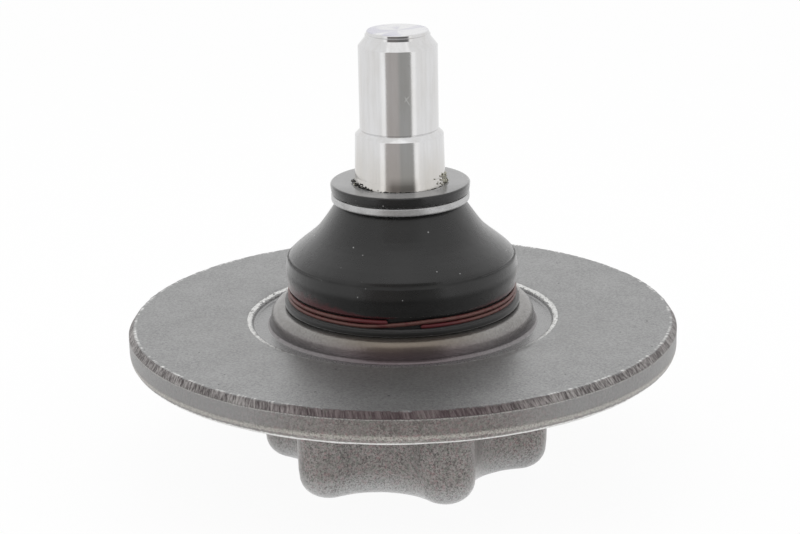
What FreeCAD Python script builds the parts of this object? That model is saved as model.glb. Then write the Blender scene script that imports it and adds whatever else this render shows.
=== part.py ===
"""Suspension ball joint: forged flanged housing, ball stud, bearing, closing ring and dust boot.

All sizes are in millimetres. The origin is the centre of the hub's flat bottom, +Z runs up the stud.
Heights called *_Z are measured from the hub's bottom.
"""
import FreeCAD, Part
import math
import os

V = FreeCAD.Vector
UP = V(0, 0, 1)

# Distance under which two heights or radii are the same
NEAR = 0.01
# How far a cut runs past the face that it opens, or a stem into what carries it
OVERRUN = 1.0
# Marks an outline's corner that is cut straight
CUT = "cut"

# Housing forging: lobed hub
HUB_HEIGHT = 27.1
HUB_LOBES = 6
HUB_TIP_R = 32.3
HUB_VALLEY_DEPTH = 8.3
HUB_LOBE_R = 6.7
HUB_DRAFT_DEG = 1.2
HUB_EDGE_R = 5.0
HUB_ROOT_R = 2.0
HUB_TURN_DEG = 19.5

# Housing forging: disc flange with its sheared trim band
FLANGE_R = 61.0
FLANGE_THICKNESS = 7.5
FLANGE_CORNER_R = 3.0
TRIM_HEIGHT = 1.5
TRIM_TAPER = 1.0

# Housing forging: boss with the rolled rim, and the machined recess round it
BOSS_R = 29.5
BOSS_TAPER = 0.5
BOSS_HEIGHT = 3.4
BOSS_ROUND_R = 2.5
BOSS_FOOT_CUT = 0.5
RECESS_WIDTH = 4.1
RECESS_DEPTH = 1.2
RECESS_WALL_LEAN = 0.3
RECESS_EDGE_WIDTH = 1.2
RECESS_EDGE_DROP = 0.3
ROLL_THICKNESS = 1.1
ROLL_OVERLAP = 1.4
ROLL_NOSE_CUT = 0.3

# Ball stud
BALL_R = 15.0
BALL_DEPTH = 8.0
BALL_FLAT_R = 5.0
NECK_R = 8.0
NECK_LENGTH = 23.0
NECK_FILLET_R = 1.5
FLARE_LENGTH = 6.0
FLARE_R = 5.0
SHANK_ROOT_R = 10.1
SHANK_TOP_R = 9.7
SHANK_LENGTH = 20.8
PIN_R = 8.65
PIN_LENGTH = 19.0
TIP_FACE_R = 6.85
TIP_LENGTH = 2.85

# Bearing
SHELL_WALL = 3.2
SHELL_FLOOR = 3.0
SHELL_CORNER_R = 5.0
BALL_CLEARANCE = 0.05
SHELL_CLEARANCE = 0.03
GREASE_LOOPS = 2
GREASE_GROOVE_R = 0.8
GREASE_POCKET_R = 4.0
GREASE_POCKET_DEPTH = 1.3
TILT_DEG = 22.0
MOUTH_CLEARANCE = 0.6

# Closing ring under the rolled rim
CLOSING_R = 24.8
CLOSING_THICKNESS = 2.4
CLOSING_NECK_R = 22.4
CLOSING_NECK_RISE = 1.0
CLOSING_GROOVE_DEPTH = 0.5
CLOSING_EDGE_CUT = 0.5

# Dust boot
BOOT_CLEARANCE = 0.15
BOOT_WALL = 1.8
BOOT_LIP_R = 26.15
BOOT_LIP_HEIGHT = 1.2
BOOT_GROOVE_R = 24.15
BOOT_BAND_R = 25.95
BOOT_BAND_HEIGHT = 6.85
BOOT_STEP = 0.4
SHOULDER_HEIGHT = 3.05
SHOULDER_BULGE = 0.3
KINK_R = 21.2
BOOT_NECK_HEIGHT = 9.2
BOOT_NECK_R = 14.0
BOOT_NECK_HOLLOW = 0.4
RING_GROOVE_R = 13.4
COLLAR_R = 15.4
COLLAR_THICKNESS = 2.2
COLLAR_EDGE_CUT = 0.3
LIP_EDGE_CUT = 0.3

# Clamp wire round the boot's foot, and ring round its neck
WIRE_R = 0.55
WIRE_SPACING = 0.05
WIRE_START_DEG = 9.4
WIRE_RAMP_DEG = 14.3
WIRE_FLOOR_CLEARANCE = 0.3
WIRE_SIDE_CLEARANCE = 0.3
RING_R = 15.2
RING_HEIGHT = 2.0
RING_EDGE_CUT = 0.3
RING_CLEARANCE = 0.1

# Heights and radii that follow from the sizes above
FLANGE_TOP_Z = HUB_HEIGHT + FLANGE_THICKNESS
HUB_VALLEY_R = HUB_TIP_R - HUB_VALLEY_DEPTH
HUB_GROWTH = HUB_HEIGHT * math.tan(math.radians(HUB_DRAFT_DEG))
BOSS_TOP_Z = FLANGE_TOP_Z + BOSS_HEIGHT
BALL_Z = FLANGE_TOP_Z - BALL_DEPTH
SHELL_R = BALL_R + SHELL_WALL
SHELL_FLOOR_Z = BALL_Z - BALL_R - SHELL_FLOOR
CLOSING_TOP_Z = BOSS_TOP_Z - ROLL_THICKNESS
SEAT_Z = CLOSING_TOP_Z - CLOSING_THICKNESS
ROLL_R = CLOSING_R - ROLL_OVERLAP
TILT = math.radians(TILT_DEG)
SEAT_RISE = SEAT_Z - BALL_Z

WIRE_PITCH = 2 * WIRE_R + WIRE_SPACING
WIRE_PATH_R = BOOT_GROOVE_R + WIRE_FLOOR_CLEARANCE + WIRE_R
BOOT_FOOT_Z = BOSS_TOP_Z + BOOT_CLEARANCE
GROOVE_FLOOR_Z = BOOT_FOOT_Z + BOOT_LIP_HEIGHT
GROOVE_TOP_Z = GROOVE_FLOOR_Z + WIRE_PITCH + 2 * (WIRE_R + WIRE_SIDE_CLEARANCE)
CLOSING_NECK_TOP_Z = GROOVE_TOP_Z + CLOSING_GROOVE_DEPTH + CLOSING_NECK_RISE
BAND_TOP_Z = GROOVE_TOP_Z + BOOT_BAND_HEIGHT
KINK_Z = BAND_TOP_Z + SHOULDER_HEIGHT
NECK_TOP_Z = KINK_Z + BOOT_NECK_HEIGHT
RING_Z = NECK_TOP_Z + RING_CLEARANCE
COLLAR_Z = RING_Z + RING_HEIGHT + RING_CLEARANCE
COLLAR_TOP_Z = COLLAR_Z + COLLAR_THICKNESS

SHANK_Z = BALL_Z + NECK_LENGTH + FLARE_LENGTH
PIN_Z = SHANK_Z + SHANK_LENGTH + (SHANK_TOP_R - PIN_R)
TIP_Z = PIN_Z + PIN_LENGTH


def edges_at(solid, z):
    """Return the edges of a solid that lie at one height."""
    return [edge for edge in solid.Edges
            if abs(edge.BoundBox.ZMin - z) < NEAR and abs(edge.BoundBox.ZMax - z) < NEAR]


def corner_arc(before, corner, after, radius):
    """Return the start, middle and end points of the arc of a radius that rounds a corner.

    The arc is tangent to both sides and takes at most 0.45 of either side.
    """
    back = before - corner
    ahead = after - corner
    half = back.getAngle(ahead) / 2
    reach = min(radius / math.tan(half), 0.45 * back.Length, 0.45 * ahead.Length)
    rounding = reach * math.tan(half)
    bisector = (back.normalize() + ahead.normalize()).normalize()
    centre = corner + bisector * (rounding / math.sin(half))
    return corner + back * reach, centre - bisector * rounding, corner + ahead * reach


def outline(points):
    """Return a closed wire in the XZ plane through points (r, z).

    A point (r, z, radius) is a rounded corner, and (r, z, width, CUT) one that is cut straight.
    """
    corners = [V(p[0], 0, p[1]) for p in points]
    count = len(points)
    stretches = []
    for i, point in enumerate(points):
        if len(point) == 2:
            stretches.append((corners[i],))
            continue
        arc = corner_arc(corners[i - 1], corners[i], corners[(i + 1) % count], point[2])
        stretches.append((arc[0], arc[2]) if CUT in point else arc)
    edges = []
    for i, stretch in enumerate(stretches):
        if len(stretch) == 3:
            edges.append(Part.Arc(*stretch).toShape())
        if len(stretch) == 2:
            edges.append(Part.LineSegment(*stretch).toShape())
        start = stretch[-1]
        end = stretches[(i + 1) % count][0]
        if start.distanceToPoint(end) > 1e-6:
            edges.append(Part.LineSegment(start, end).toShape())
    return Part.Wire(edges)


def turned(points):
    """Return the solid that an (r, z) outline sweeps in one turn about Z."""
    return Part.Face(outline(points)).revolve(V(0, 0, 0), UP, 360)


def bulged(start, end, bulge):
    """Return three points of the arc that bows out of the chord from start to end by a bulge."""
    a = V(start[0], 0, start[1])
    b = V(end[0], 0, end[1])
    side = (b - a).cross(V(0, 1, 0)).normalize()
    return a, (a + b) / 2 + side * bulge, b


def mouth_r(height):
    """Return the radius, at a height over the ball's centre, that clears the stud's neck at full tilt."""
    return height * math.tan(TILT) + (NECK_R + MOUTH_CLEARANCE) / math.cos(TILT)


def chord(radius, offset):
    """Return half the chord of a circle of a radius at an offset from its centre."""
    return math.sqrt(radius ** 2 - offset ** 2)


def shank_r(z):
    """Return the radius of the stud's tapered shank at a height."""
    return SHANK_ROOT_R + (SHANK_TOP_R - SHANK_ROOT_R) * (z - SHANK_Z) / SHANK_LENGTH


def lobed_wire(growth, z):
    """Return the hub's lobed outline at a height, grown outwards all round.

    Each lobe is an arc, each valley between two lobes an arc tangent to both.
    """
    half_pitch = math.pi / HUB_LOBES
    tip_centre = HUB_TIP_R - HUB_LOBE_R
    reach = tip_centre * math.cos(half_pitch)
    valley_arc_r = (HUB_LOBE_R ** 2 - tip_centre ** 2 - HUB_VALLEY_R ** 2 + 2 * HUB_VALLEY_R * reach) / (
        2 * (HUB_VALLEY_R - reach - HUB_LOBE_R))
    valley_centre = HUB_VALLEY_R + valley_arc_r
    lobe_r = HUB_LOBE_R + growth

    def at(radius, angle):
        return V(radius * math.cos(angle), radius * math.sin(angle), z)

    def joint(tip_angle, valley_angle):
        tip = at(tip_centre, tip_angle)
        return tip + (at(valley_centre, valley_angle) - tip).normalize() * lobe_r

    edges = []
    for lobe in range(HUB_LOBES):
        middle = math.radians(HUB_TURN_DEG - 90) + 2 * lobe * half_pitch
        valley = middle + half_pitch
        begin = joint(middle, middle - half_pitch)
        end = joint(middle, valley)
        following = joint(middle + 2 * half_pitch, valley)
        edges.append(Part.Arc(begin, at(HUB_TIP_R + growth, middle), end).toShape())
        edges.append(Part.Arc(end, at(HUB_VALLEY_R + growth, valley), following).toShape())
    return Part.Wire(edges)


def lobed_hub():
    """Return the drafted lobed hub with its rounded bottom edge."""
    hub = Part.makeLoft([lobed_wire(0, 0), lobed_wire(HUB_GROWTH, HUB_HEIGHT)], True, True)
    return hub.makeFillet(HUB_EDGE_R, edges_at(hub, 0))


def flange_and_boss():
    """Return the disc flange with its trim band, machined recess and raised boss."""
    recess_r = BOSS_R + RECESS_WIDTH
    recess_z = FLANGE_TOP_Z - RECESS_DEPTH
    return turned([
        (0, HUB_HEIGHT),
        (FLANGE_R, HUB_HEIGHT, FLANGE_CORNER_R),
        (FLANGE_R, FLANGE_TOP_Z - TRIM_HEIGHT),
        (FLANGE_R - TRIM_TAPER, FLANGE_TOP_Z),
        (recess_r + RECESS_EDGE_WIDTH, FLANGE_TOP_Z),
        (recess_r, FLANGE_TOP_Z - RECESS_EDGE_DROP),
        (recess_r - RECESS_WALL_LEAN, recess_z, BOSS_FOOT_CUT, CUT),
        (BOSS_R, recess_z, BOSS_FOOT_CUT, CUT),
        (BOSS_R - BOSS_TAPER, BOSS_TOP_Z, BOSS_ROUND_R),
        (0, BOSS_TOP_Z),
    ])


def socket():
    """Return the hollow that takes the bearing and the closing ring, up through the rolled rim."""
    bore_r = SHELL_R + SHELL_CLEARANCE
    seat_r = CLOSING_R + SHELL_CLEARANCE
    return turned([
        (0, SHELL_FLOOR_Z),
        (bore_r, SHELL_FLOOR_Z, SHELL_CORNER_R),
        (bore_r, SEAT_Z),
        (seat_r, SEAT_Z),
        (seat_r, CLOSING_TOP_Z),
        (ROLL_R, CLOSING_TOP_Z, ROLL_NOSE_CUT, CUT),
        (ROLL_R, BOSS_TOP_Z + OVERRUN),
        (0, BOSS_TOP_Z + OVERRUN),
    ])


def housing():
    """Return the forging: lobed hub, flange and boss, hollowed for the bearing."""
    forging = lobed_hub().fuse(flange_and_boss()).removeSplitter()
    root_reach = HUB_TIP_R + HUB_GROWTH + NEAR
    root = [edge for edge in edges_at(forging, HUB_HEIGHT)
            if all(math.hypot(vertex.X, vertex.Y) < root_reach for vertex in edge.Vertexes)]
    forging = forging.makeFillet(HUB_ROOT_R, root)
    return forging.cut(socket())


def ball_stud():
    """Return the stud: flat-bottomed ball, waisted neck, tapered shank, clamp pin and chamfered tip."""
    ball = Part.makeSphere(BALL_R, V(0, 0, BALL_Z))
    flat_z = BALL_Z - chord(BALL_R, BALL_FLAT_R)
    below = Part.makeCylinder(BALL_R, BALL_R, V(0, 0, flat_z - BALL_R))
    ball = ball.cut(below)
    neck_foot_z = BALL_Z + chord(BALL_R, NECK_R) - OVERRUN
    stem = turned([
        (0, neck_foot_z),
        (NECK_R, neck_foot_z),
        (NECK_R, BALL_Z + NECK_LENGTH, FLARE_R),
        (SHANK_ROOT_R, SHANK_Z, FLARE_R),
        (SHANK_TOP_R, SHANK_Z + SHANK_LENGTH),
        (PIN_R, PIN_Z),
        (PIN_R, TIP_Z),
        (TIP_FACE_R, TIP_Z + TIP_LENGTH),
        (0, TIP_Z + TIP_LENGTH),
    ])
    stud = ball.fuse(stem)
    return stud.makeFillet(NECK_FILLET_R, edges_at(stud, BALL_Z + chord(BALL_R, NECK_R)))


def lower_bearing_shell():
    """Return the cup under the ball, with grease grooves that run up from a pocket at its bottom.

    Each loop is a groove up both sides of the cup.
    """
    cup = turned([
        (0, SHELL_FLOOR_Z),
        (SHELL_R, SHELL_FLOOR_Z, SHELL_CORNER_R),
        (SHELL_R, BALL_Z),
        (0, BALL_Z),
    ])
    cup = cup.cut(Part.makeSphere(BALL_R + BALL_CLEARANCE, V(0, 0, BALL_Z)))
    pocket_z = BALL_Z - BALL_R - GREASE_POCKET_DEPTH
    cup = cup.cut(Part.makeCylinder(GREASE_POCKET_R, BALL_R, V(0, 0, pocket_z)))
    for i in range(GREASE_LOOPS):
        angle = math.pi * i / GREASE_LOOPS
        across = V(math.cos(angle), math.sin(angle), 0)
        loop = Part.makeTorus(BALL_R + BALL_CLEARANCE, GREASE_GROOVE_R, V(0, 0, BALL_Z), across)
        cup = cup.cut(loop)
    return cup


def upper_bearing_ring():
    """Return the ring over the ball, with the mouth that lets the neck tilt."""
    ring = turned([
        (0, BALL_Z),
        (SHELL_R, BALL_Z),
        (SHELL_R, SEAT_Z),
        (0, SEAT_Z),
    ])
    ring = ring.cut(Part.makeSphere(BALL_R + BALL_CLEARANCE, V(0, 0, BALL_Z)))
    mouth = Part.makeCone(mouth_r(0), mouth_r(SEAT_RISE), SEAT_RISE, V(0, 0, BALL_Z))
    return ring.cut(mouth)


def grooved_neck(clearance):
    """Return the (r, z) corners, bottom to top, of the groove round the closing ring's neck."""
    outer_r = CLOSING_NECK_R + clearance
    groove_r = outer_r - CLOSING_GROOVE_DEPTH
    return [
        (outer_r, GROOVE_FLOOR_Z - CLOSING_GROOVE_DEPTH),
        (groove_r, GROOVE_FLOOR_Z),
        (groove_r, GROOVE_TOP_Z),
        (outer_r, GROOVE_TOP_Z + CLOSING_GROOVE_DEPTH),
    ]


def closing_ring():
    """Return the steel ring under the rolled rim, with the neck and groove that hold the boot."""
    inner_r = max(mouth_r(SEAT_RISE), chord(BALL_R + MOUTH_CLEARANCE, SEAT_RISE))
    return turned([
        (inner_r, SEAT_Z),
        (CLOSING_R, SEAT_Z),
        (CLOSING_R, CLOSING_TOP_Z),
        (CLOSING_NECK_R, CLOSING_TOP_Z),
        *grooved_neck(0),
        (CLOSING_NECK_R, CLOSING_NECK_TOP_Z, CLOSING_EDGE_CUT, CUT),
        (mouth_r(CLOSING_NECK_TOP_Z - BALL_Z), CLOSING_NECK_TOP_Z, CLOSING_EDGE_CUT, CUT),
    ])


def boot_outside():
    """Return the solid inside the boot's outer surface, from the lip up to the collar's top."""
    lip = turned([
        (0, BOOT_FOOT_Z),
        (BOOT_LIP_R, BOOT_FOOT_Z, LIP_EDGE_CUT, CUT),
        (BOOT_LIP_R, GROOVE_FLOOR_Z, LIP_EDGE_CUT, CUT),
        (BOOT_GROOVE_R, GROOVE_FLOOR_Z),
        (BOOT_GROOVE_R, GROOVE_TOP_Z),
        (BOOT_BAND_R, GROOVE_TOP_Z, LIP_EDGE_CUT, CUT),
        (BOOT_BAND_R, BAND_TOP_Z),
        (0, BAND_TOP_Z),
    ])
    shoulder_foot = (BOOT_BAND_R - BOOT_STEP, BAND_TOP_Z)
    kink = (KINK_R, KINK_Z)
    neck = (BOOT_NECK_R, NECK_TOP_Z)
    edges = [
        Part.Arc(*bulged(shoulder_foot, kink, SHOULDER_BULGE)).toShape(),
        Part.Arc(*bulged(kink, neck, -BOOT_NECK_HOLLOW)).toShape(),
        Part.makePolygon([V(neck[0], 0, neck[1]), V(0, 0, neck[1]), V(0, 0, BAND_TOP_Z),
                          V(shoulder_foot[0], 0, BAND_TOP_Z)]),
    ]
    dome = Part.Face(Part.Wire(sum((edge.Edges for edge in edges), []))).revolve(V(0, 0, 0), UP, 360)
    collar = turned([
        (0, NECK_TOP_Z),
        (RING_GROOVE_R, NECK_TOP_Z),
        (RING_GROOVE_R, COLLAR_Z),
        (COLLAR_R, COLLAR_Z, COLLAR_EDGE_CUT, CUT),
        (COLLAR_R, COLLAR_TOP_Z, COLLAR_EDGE_CUT, CUT),
        (0, COLLAR_TOP_Z),
    ])
    return lip.fuse([dome, collar])


def boot_inside():
    """Return the hollow of the boot: its fit on the closing ring, the bellows room and the shank's bore."""
    fit_r = CLOSING_NECK_R + BOOT_CLEARANCE
    fit_top_z = CLOSING_NECK_TOP_Z + BOOT_CLEARANCE
    room_r = BOOT_BAND_R - BOOT_WALL
    bore_z = NECK_TOP_Z - BOOT_WALL / 2
    return turned([
        (0, BOOT_FOOT_Z - OVERRUN),
        (fit_r, BOOT_FOOT_Z - OVERRUN),
        *grooved_neck(BOOT_CLEARANCE),
        (fit_r, fit_top_z),
        (room_r, fit_top_z + BOOT_WALL),
        (room_r, BAND_TOP_Z - BOOT_WALL / 2, 2 * BOOT_WALL),
        (KINK_R - BOOT_WALL / 2, KINK_Z - BOOT_WALL),
        (BOOT_NECK_R - BOOT_WALL, bore_z - BOOT_WALL / 2),
        (shank_r(bore_z) + BOOT_CLEARANCE, bore_z),
        (shank_r(COLLAR_TOP_Z + OVERRUN) + BOOT_CLEARANCE, COLLAR_TOP_Z + OVERRUN),
        (0, COLLAR_TOP_Z + OVERRUN),
    ])


def dust_boot():
    """Return the rubber boot between the closing ring's neck and the stud's shank."""
    return boot_outside().cut(boot_inside()).removeSplitter()


def boot_clamp_wire():
    """Return the wire clamp that holds the boot's foot: two turns and the ramp from one to the next.

    Each turn stops short of a full circle by the ramp, so the cut ends lie either side of it.
    """
    lower_z = GROOVE_FLOOR_Z + WIRE_SIDE_CLEARANCE + WIRE_R
    upper_z = lower_z + WIRE_PITCH

    def at(degrees, z):
        angle = math.radians(degrees - 90)
        return V(WIRE_PATH_R * math.cos(angle), WIRE_PATH_R * math.sin(angle), z)

    def turn(z):
        start = at(WIRE_START_DEG, z)
        section = Part.Face(Part.Wire(Part.makeCircle(WIRE_R, start, UP.cross(start))))
        return section.revolve(V(0, 0, 0), UP, 360 - WIRE_RAMP_DEG)

    foot = at(WIRE_START_DEG - WIRE_RAMP_DEG, lower_z)
    head = at(WIRE_START_DEG, upper_z)
    ramp = Part.makeCylinder(WIRE_R, foot.distanceToPoint(head), foot, head - foot)
    bends = [Part.makeSphere(WIRE_R, end) for end in (foot, head)]
    return turn(lower_z).fuse([ramp, turn(upper_z)] + bends)


def upper_boot_ring():
    """Return the hard ring in the groove under the boot's collar."""
    inner_r = RING_GROOVE_R + RING_CLEARANCE
    return turned([
        (inner_r, RING_Z),
        (RING_R, RING_Z, RING_EDGE_CUT, CUT),
        (RING_R, RING_Z + RING_HEIGHT, RING_EDGE_CUT, CUT),
        (inner_r, RING_Z + RING_HEIGHT),
    ])


PIECES = {
    "housing": housing,
    "lower_bearing_shell": lower_bearing_shell,
    "upper_bearing_ring": upper_bearing_ring,
    "closing_ring": closing_ring,
    "ball_stud": ball_stud,
    "dust_boot": dust_boot,
    "boot_clamp_wire": boot_clamp_wire,
    "upper_boot_ring": upper_boot_ring,
}

os.makedirs("parts", exist_ok=True)
for node, build in PIECES.items():
    shape = build()
    shape.exportStep("parts/" + node + ".step")
    box = shape.BoundBox
    print(node, "solids", len(shape.Solids), "valid", shape.isValid(), "volume", round(shape.Volume, 1),
          "z", round(box.ZMin, 2), round(box.ZMax, 2), "r", round(box.XMax, 2), "faces", len(shape.Faces))
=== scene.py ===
"""Looks of a suspension ball joint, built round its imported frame.

The sizes in the classes are millimetres in the part's frame: the origin is the centre of the hub's
flat bottom, +Z runs up the stud and -Y points towards the camera. Meshes are written in metres.
"""
import logging
import math
from collections.abc import Callable
from dataclasses import dataclass, field
from enum import Enum
from typing import Any

import bpy
import numpy as np
from mathutils import Matrix, Vector


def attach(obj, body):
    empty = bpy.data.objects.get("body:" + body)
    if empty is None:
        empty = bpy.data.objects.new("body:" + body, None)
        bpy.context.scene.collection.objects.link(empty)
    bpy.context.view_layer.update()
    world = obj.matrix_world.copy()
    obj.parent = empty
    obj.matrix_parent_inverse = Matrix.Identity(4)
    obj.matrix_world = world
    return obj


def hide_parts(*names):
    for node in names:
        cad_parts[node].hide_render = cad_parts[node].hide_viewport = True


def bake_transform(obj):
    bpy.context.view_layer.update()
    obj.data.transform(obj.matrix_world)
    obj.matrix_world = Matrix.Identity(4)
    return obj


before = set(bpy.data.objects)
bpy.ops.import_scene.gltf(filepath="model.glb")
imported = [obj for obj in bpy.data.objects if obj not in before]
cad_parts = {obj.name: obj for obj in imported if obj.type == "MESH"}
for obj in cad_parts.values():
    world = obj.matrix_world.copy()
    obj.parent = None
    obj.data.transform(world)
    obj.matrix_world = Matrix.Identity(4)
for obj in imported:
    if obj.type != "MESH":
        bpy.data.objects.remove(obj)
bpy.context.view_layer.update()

Array = np.ndarray
Colour = tuple[float, float, float, float]
Corner = tuple[float, ...]

MM = 0.001
TAU = 2 * math.pi
LATTICE = 32  # cells along each side of the noise lattice, which then repeats
ARC_REACH = 0.48  # largest share of a side that the rounding of a corner takes
TINY = 1e-9  # smallest length that anything is divided by
NEAR = 0.03  # rows this close to a height lie on it
LOG = logging.getLogger("ball_joint")


class Body(Enum):
    """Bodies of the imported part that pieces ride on."""

    HOUSING = "housing"
    BOOT = "boot"
    NECK = "boot_neck"
    STUD = "stud"


class Slot(Enum):
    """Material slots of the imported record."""

    FORGED = "forged_steel"
    STUD = "stud_steel"
    RUBBER = "boot_rubber"
    WIRE = "red_wire"
    RING = "ring_plastic"


# ---- surfaces ----


def even_angles(columns: int) -> Array:
    """Angles in radians of columns spread evenly round a circle."""
    return np.arange(columns) * TAU / columns


def heading(angle: Array) -> Array:
    """Unit vectors (cos a, sin a) of angles, as (2, ...)."""
    return np.stack([np.cos(angle), np.sin(angle)])


def polar(r: Array, angle: Array, z: Array) -> Array:
    """Points (r cos a, r sin a, z), as (..., 3)."""
    x, y = r * np.cos(angle), r * np.sin(angle)
    return np.stack([x, y, np.broadcast_to(z, x.shape)], axis=-1)


def unit(vectors: Array) -> Array:
    """Vectors of the same directions with a length of 1."""
    return vectors / np.maximum(np.linalg.norm(vectors, axis=-1, keepdims=True), TINY)


def smooth_step(value: Array, low: float, high: float) -> Array:
    """Rise smoothly from 0 at low to 1 at high, as 3t^2 - 2t^3.

    Args:
        value: Numbers to map.
        low: Number at which the rise starts.
        high: Number at which it ends; it may be below low for a fall.

    Returns:
        Numbers from 0 to 1.
    """
    t = np.clip((value - low) / (high - low), 0, 1)
    return t * t * (3 - 2 * t)


def ring_noise(angle: Array, bumps: int, rng: np.random.Generator) -> Array:
    """Smooth noise round a circle: random heights at even angles, joined by 3t^2 - 2t^3.

    Args:
        angle: Angles in radians.
        bumps: How many random heights go round the circle.
        rng: Source of the heights.

    Returns:
        Numbers from -1 to 1, the same at 0 and at a full turn.
    """
    heights = rng.uniform(-1, 1, bumps)
    place = np.mod(angle, TAU) / TAU * bumps
    low = np.floor(place).astype(int)
    share = smooth_step(place - low, 0, 1)
    return heights[low % bumps] * (1 - share) + heights[(low + 1) % bumps] * share


def space_noise(points: Array, size: float, rng: np.random.Generator) -> Array:
    """Smooth noise in space: random heights on a cubic lattice, blended along its three axes.

    Args:
        points: Points as (..., 3).
        size: Edge of a lattice cell, in the points' unit.
        rng: Source of the heights.

    Returns:
        Numbers from -1 to 1, one per point.
    """
    heights = rng.uniform(-1, 1, (LATTICE,) * 3)
    place = points / size + LATTICE / 2
    cell = np.floor(place).astype(int)
    share = smooth_step(place - cell, 0, 1)
    total = np.zeros(points.shape[:-1])
    for corner in np.ndindex(2, 2, 2):
        index = (cell + corner) % LATTICE
        weight = np.prod(np.where(corner, share, 1 - share), axis=-1)
        total += weight * heights[index[..., 0], index[..., 1], index[..., 2]]
    return total


def profile(corners: list[Corner], arc_steps: int, spacing: float, closed: bool = False) -> Array:
    """Draw an outline through corners, with tangent arcs in the rounded ones and points along the straights.

    Args:
        corners: Corners (r, z) or (r, z, rounding radius).
        arc_steps: Steps of each arc.
        spacing: Largest distance between points on a straight.
        closed: Whether the last corner joins the first.

    Returns:
        Points as (count, 2).
    """
    places = [np.array(corner[:2], float) for corner in corners]
    stretches = []
    for i, corner in enumerate(corners):
        if len(corner) == 2:
            stretches.append(places[i][None])
            continue
        back = places[i - 1] - places[i]
        ahead = places[(i + 1) % len(corners)] - places[i]
        longest = ARC_REACH * min(np.linalg.norm(back), np.linalg.norm(ahead))
        back, ahead = unit(back), unit(ahead)
        half = math.acos(np.clip(back @ ahead, -1, 1)) / 2
        reach = min(corner[2] / math.tan(half), longest)
        radius = reach * math.tan(half)
        centre = places[i] + unit(back + ahead) * radius / math.sin(half)
        first, last = places[i] + back * reach - centre, places[i] + ahead * reach - centre
        swing = math.acos(np.clip(first @ last / radius ** 2, -1, 1))
        t = np.linspace(0, 1, arc_steps + 1)[:, None]
        arc = np.sin((1 - t) * swing) * first + np.sin(t * swing) * last
        stretches.append(centre + arc / math.sin(swing))
    line = []
    count = len(stretches)
    for i, stretch in enumerate(stretches):
        line.append(stretch)
        if i == count - 1 and not closed:
            break
        end = stretches[(i + 1) % count][0]
        parts = max(1, math.ceil(np.linalg.norm(end - stretch[-1]) / spacing))
        t = np.linspace(0, 1, parts + 1)[1:-1, None]
        line.append(stretch[-1] * (1 - t) + end * t)
    return np.concatenate(line)


def turned(outline: Array, columns: int) -> Array:
    """Sweep an outline once round Z: row i, column j is (r_i cos a_j, r_i sin a_j, z_i).

    Args:
        outline: Points (r, z) as (rows, 2).
        columns: How many columns go round.

    Returns:
        Points as (rows, columns, 3).
    """
    return polar(outline[:, :1], even_angles(columns), outline[:, 1:])


def grid_normals(points: Array) -> Array:
    """Outward unit normals of a grid that wraps round its columns: the cross product of its two directions.

    Args:
        points: Points as (rows, columns, 3).

    Returns:
        Normals of the same shape.
    """
    along = np.gradient(points, axis=0)
    round_ = np.roll(points, -1, axis=1) - np.roll(points, 1, axis=1)
    return unit(np.cross(round_, along))


@dataclass
class Grid:
    """A surface on a grid of rows and columns that wraps round its columns."""

    points: Array
    closed: bool = False

    def build(self, name: str, sharp: float = 40.0) -> bpy.types.Object:
        """Make the mesh: quads between the rows, and a fan to a pole at each open end.

        Args:
            name: Name of the object.
            sharp: Angle in degrees over which an edge is shaded sharp.

        Returns:
            The object, linked to the scene.
        """
        rows, columns = self.points.shape[:2]
        row = np.arange(rows if self.closed else rows - 1)[:, None]
        column = np.arange(columns)[None]
        following = (column + 1) % columns
        above = (row + 1) % rows
        quads = np.stack([
            row * columns + column, row * columns + following,
            above * columns + following, above * columns + column], axis=-1).reshape(-1, 4)
        points = self.points.reshape(-1, 3)
        fans = np.zeros((0, 3), int)
        if not self.closed:
            poles = np.stack([self.points[0].mean(axis=0), self.points[-1].mean(axis=0)])
            points = np.concatenate([points, poles])
            pole = np.full(columns, rows * columns)
            last = (rows - 1) * columns
            fans = np.concatenate([
                np.stack([following[0], column[0], pole], axis=-1),
                np.stack([last + column[0], last + following[0], pole + 1], axis=-1)])
        return solid(name, points, quads, fans, sharp)


def solid(name: str, points: Array, quads: Array, triangles: Array, sharp: float) -> bpy.types.Object:
    """Write points in millimetres and faces into a mesh object at the origin.

    Args:
        name: Name of the object.
        points: Points as (count, 3).
        quads: Corner numbers as (count, 4).
        triangles: Corner numbers as (count, 3).
        sharp: Angle in degrees over which an edge is shaded sharp.

    Returns:
        The object, linked to the scene.
    """
    mesh = bpy.data.meshes.new(name)
    mesh.vertices.add(len(points))
    mesh.vertices.foreach_set("co", (points * MM).astype(np.float32).ravel())
    loops = np.concatenate([quads.ravel(), triangles.ravel()])
    sizes = np.concatenate([np.full(len(quads), 4), np.full(len(triangles), 3)])
    starts = np.concatenate([[0], np.cumsum(sizes)[:-1]])
    mesh.loops.add(len(loops))
    mesh.loops.foreach_set("vertex_index", loops.astype(np.int32))
    mesh.polygons.add(len(sizes))
    mesh.polygons.foreach_set("loop_start", starts.astype(np.int32))
    mesh.update(calc_edges=True)
    mesh.validate()
    mesh.shade_smooth()
    mesh.set_sharp_from_angle(angle=math.radians(sharp))
    piece = bpy.data.objects.new(name, mesh)
    bpy.context.scene.collection.objects.link(piece)
    return piece


def store(piece: bpy.types.Object, name: str, values: Array) -> None:
    """Keep one number per vertex on a piece's mesh, for its material to read."""
    attribute = piece.data.attributes.new(name, "FLOAT", "POINT")
    attribute.data.foreach_set("value", values.astype(np.float32).ravel())


# ---- shader maths ----


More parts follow.
